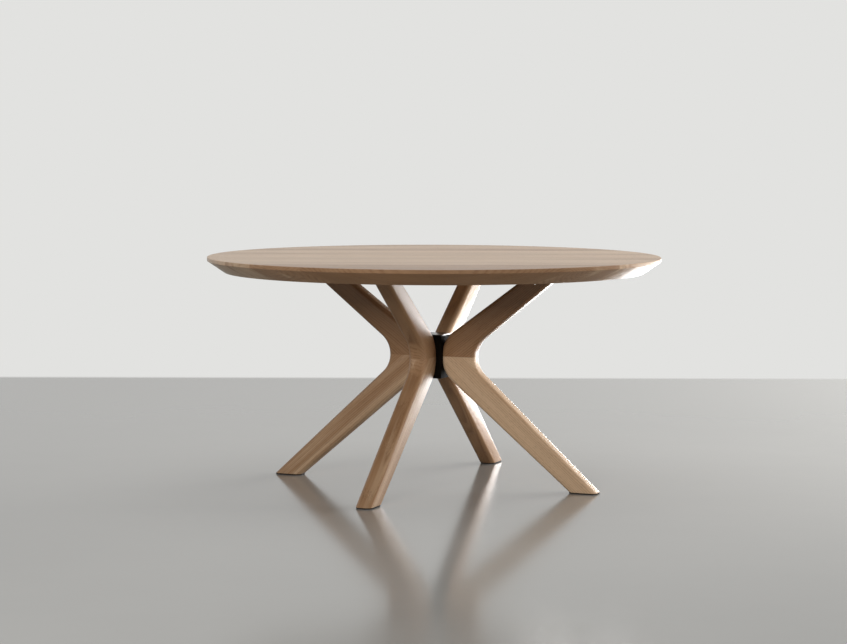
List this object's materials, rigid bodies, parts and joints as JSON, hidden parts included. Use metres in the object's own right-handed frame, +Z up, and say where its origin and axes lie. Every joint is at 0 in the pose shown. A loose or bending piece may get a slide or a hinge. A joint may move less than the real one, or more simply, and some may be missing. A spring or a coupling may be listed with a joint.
{
  "type": "round dining table",
  "caption": "Round pedestal dining table with a thick bevelled wood top on knee-shaped wood legs that meet at a square black metal hub.",
  "frame": {"origin": "on the floor under the middle of the round top", "axes": "+Z up; +X along the grain of the top's boards, to the right in the picture; +Y away from the picture's viewer"},
  "size_m": [1.4999, 1.4999, 0.76],
  "materials": {
    "top_wood": "clear matt oil over pale hickory",
    "leg_wood": "clear matt oil over hickory",
    "black_steel": "black powder coat, satin",
    "zinc_steel": "bright zinc plate",
    "pad": "matt"
  },
  "bodies": {
    "root": {"top_board_01": "top_wood", "top_board_02": "top_wood", "top_board_03": "top_wood", "top_board_04": "top_wood", "top_board_05": "top_wood", "top_board_06": "top_wood", "top_board_07": "top_wood", "top_board_08": "top_wood", "top_board_09": "top_wood", "top_board_10": "top_wood", "top_board_11": "top_wood", "right_upper_arm": "leg_wood", "right_lower_arm": "leg_wood", "right_plate": "black_steel", "right_foot_pad": "pad", "back_upper_arm": "leg_wood", "back_lower_arm": "leg_wood", "back_plate": "black_steel", "back_foot_pad": "pad", "left_upper_arm": "leg_wood", "left_lower_arm": "leg_wood", "left_plate": "black_steel", "left_foot_pad": "pad", "front_upper_arm": "leg_wood", "front_lower_arm": "leg_wood", "front_plate": "black_steel", "front_foot_pad": "pad", "hub_tube": "black_steel", "hub_top_plate": "black_steel", "hub_plug": "black_steel", "left_channel": "black_steel", "middle_channel": "black_steel", "right_channel": "black_steel", "knee_tenons": "leg_wood", "hub_bolts": "zinc_steel", "hub_inserts": "zinc_steel", "arm_screws": "zinc_steel", "top_bolts": "zinc_steel", "top_inserts": "zinc_steel", "channel_screws": "zinc_steel"}
  },
  "joints": []
}
